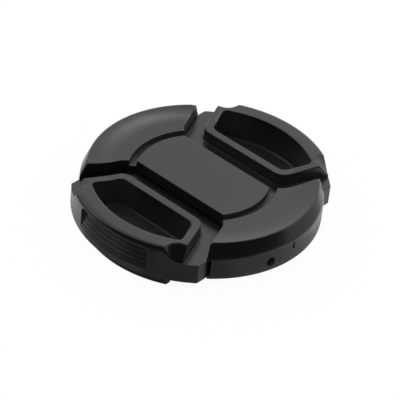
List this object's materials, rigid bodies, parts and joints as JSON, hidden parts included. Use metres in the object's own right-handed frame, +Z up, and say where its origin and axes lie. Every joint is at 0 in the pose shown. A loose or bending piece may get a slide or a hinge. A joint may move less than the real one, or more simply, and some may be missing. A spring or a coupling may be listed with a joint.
{
  "type": "camera lens cap",
  "caption": "Round push-in lens cap with sprung pinch tabs, each with a finger well, a ridged grip and a threaded claw that holds in a lens's filter thread.",
  "frame": {"origin": "on the resting plane, under the middle of the cap, at the level of the claws' lower ends", "axes": "+Z up along the cap's axis, out of its front face; +X along the tabs' sliding line, towards the right tab; -Y towards the leash hole"},
  "size_m": [0.0598, 0.055, 0.0122],
  "materials": {
    "body_plastic": "injection moulded, fine satin texture",
    "tab_plastic": "injection moulded, fine satin texture",
    "back_plastic": "injection moulded, plain matt",
    "spring_steel": "drawn spring wire"
  },
  "bodies": {
    "cap": {"cap_body": "body_plastic", "back_plate": "back_plastic", "spring_front": "spring_steel", "spring_rear": "spring_steel"},
    "tab_right": {"pinch_tab_right": "tab_plastic"},
    "tab_left": {"pinch_tab_left": "tab_plastic"}
  },
  "joints": [
    {"name": "tab_right_slide", "type": "slide", "parent": "cap", "child": "tab_right", "axis": [-1, 0, 0], "range_m": [0, 0.003], "stiffness_N_per_m": 800, "deforming": ["spring_front", "spring_rear"]},
    {"name": "tab_left_slide", "type": "slide", "parent": "cap", "child": "tab_left", "axis": [1, 0, 0], "range_m": [0, 0.003], "stiffness_N_per_m": 800, "deforming": ["spring_front", "spring_rear"]}
  ]
}
